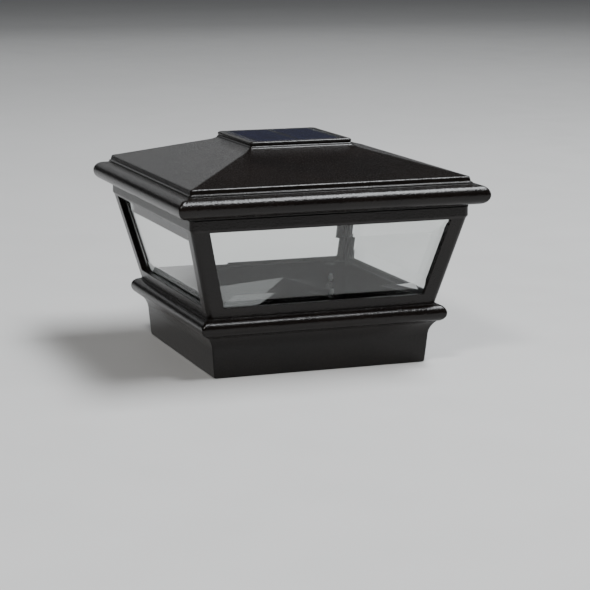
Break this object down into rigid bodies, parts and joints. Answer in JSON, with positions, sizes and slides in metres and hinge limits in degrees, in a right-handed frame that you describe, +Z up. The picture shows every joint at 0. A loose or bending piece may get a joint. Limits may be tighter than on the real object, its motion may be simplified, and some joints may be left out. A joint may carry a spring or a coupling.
{
  "type": "solar lantern fence post cap",
  "caption": "Square solar lantern cap that sleeves over a fence post, with a hipped roof, a solar panel in a collar and bevelled glass on four sides.",
  "frame": {"origin": "centre of the skirt's bottom rim", "axes": "+Z up along the post, -Y the front face, +X to the right seen from the front"},
  "size_m": [0.2198, 0.2198, 0.1533],
  "materials": {
    "powder_coat": "warm black powder coat, semi-gloss with fine orange peel",
    "glass": "clear bevelled glass",
    "panel_cover": "clear, slightly domed gloss",
    "solar_cell": "dark blue silicon with fine silver fingers",
    "panel_board": "black laminate",
    "zinc_steel": "zinc-plated",
    "spring_steel": "nickel-plated",
    "seal_rubber": "matt black rubber",
    "grey_rubber": "matt grey silicone",
    "housing_plastic": "black moulded ABS, fine texture",
    "led_lens": "water-clear epoxy",
    "board_green": "green solder mask",
    "board_part": "black moulded component",
    "switch_shell": "tinned steel",
    "switch_knob": "ivory nylon",
    "battery_wrap": "plain green sleeve",
    "wire_jacket": "PVC insulation",
    "wire_clear": "white PVC insulation"
  },
  "bodies": {
    "root": {"roof": "powder_coat", "roof_screws": "zinc_steel", "roof_gasket": "seal_rubber", "panel_board": "panel_board", "solar_cells": "solar_cell", "panel_cover": "panel_cover", "panel_seal": "seal_rubber", "lantern_frame": "powder_coat", "glass_front": "glass", "glass_back": "glass", "glass_left": "glass", "glass_right": "glass", "glazing_seals": "seal_rubber", "glass_clips": "spring_steel", "clip_screws": "zinc_steel", "base": "powder_coat", "frame_screws": "zinc_steel", "led_lamps": "led_lens", "led_leads": "spring_steel", "led_grommets": "seal_rubber", "lead_grommet": "seal_rubber", "housing": "housing_plastic", "housing_screws": "zinc_steel", "housing_seal": "grey_rubber", "housing_cover": "housing_plastic", "cover_screws": "zinc_steel", "control_board": "board_green", "board_screws": "zinc_steel", "board_parts": "board_part", "switch_body": "switch_shell", "battery": "battery_wrap", "battery_contact": "spring_steel", "battery_spring": "spring_steel", "solar_lead": "wire_jacket", "led_wires": "wire_clear"},
    "switch": {"switch_slider": "switch_knob"},
    "door": {"battery_door": "housing_plastic"}
  },
  "joints": [
    {"name": "switch_slide", "type": "slide", "parent": "root", "child": "switch", "axis": [1, 0, 0], "range_m": [0, 0.003]},
    {"name": "battery_door_lift", "type": "slide", "parent": "root", "child": "door", "axis": [0, 0, -1], "range_m": [0, 0.03]}
  ]
}
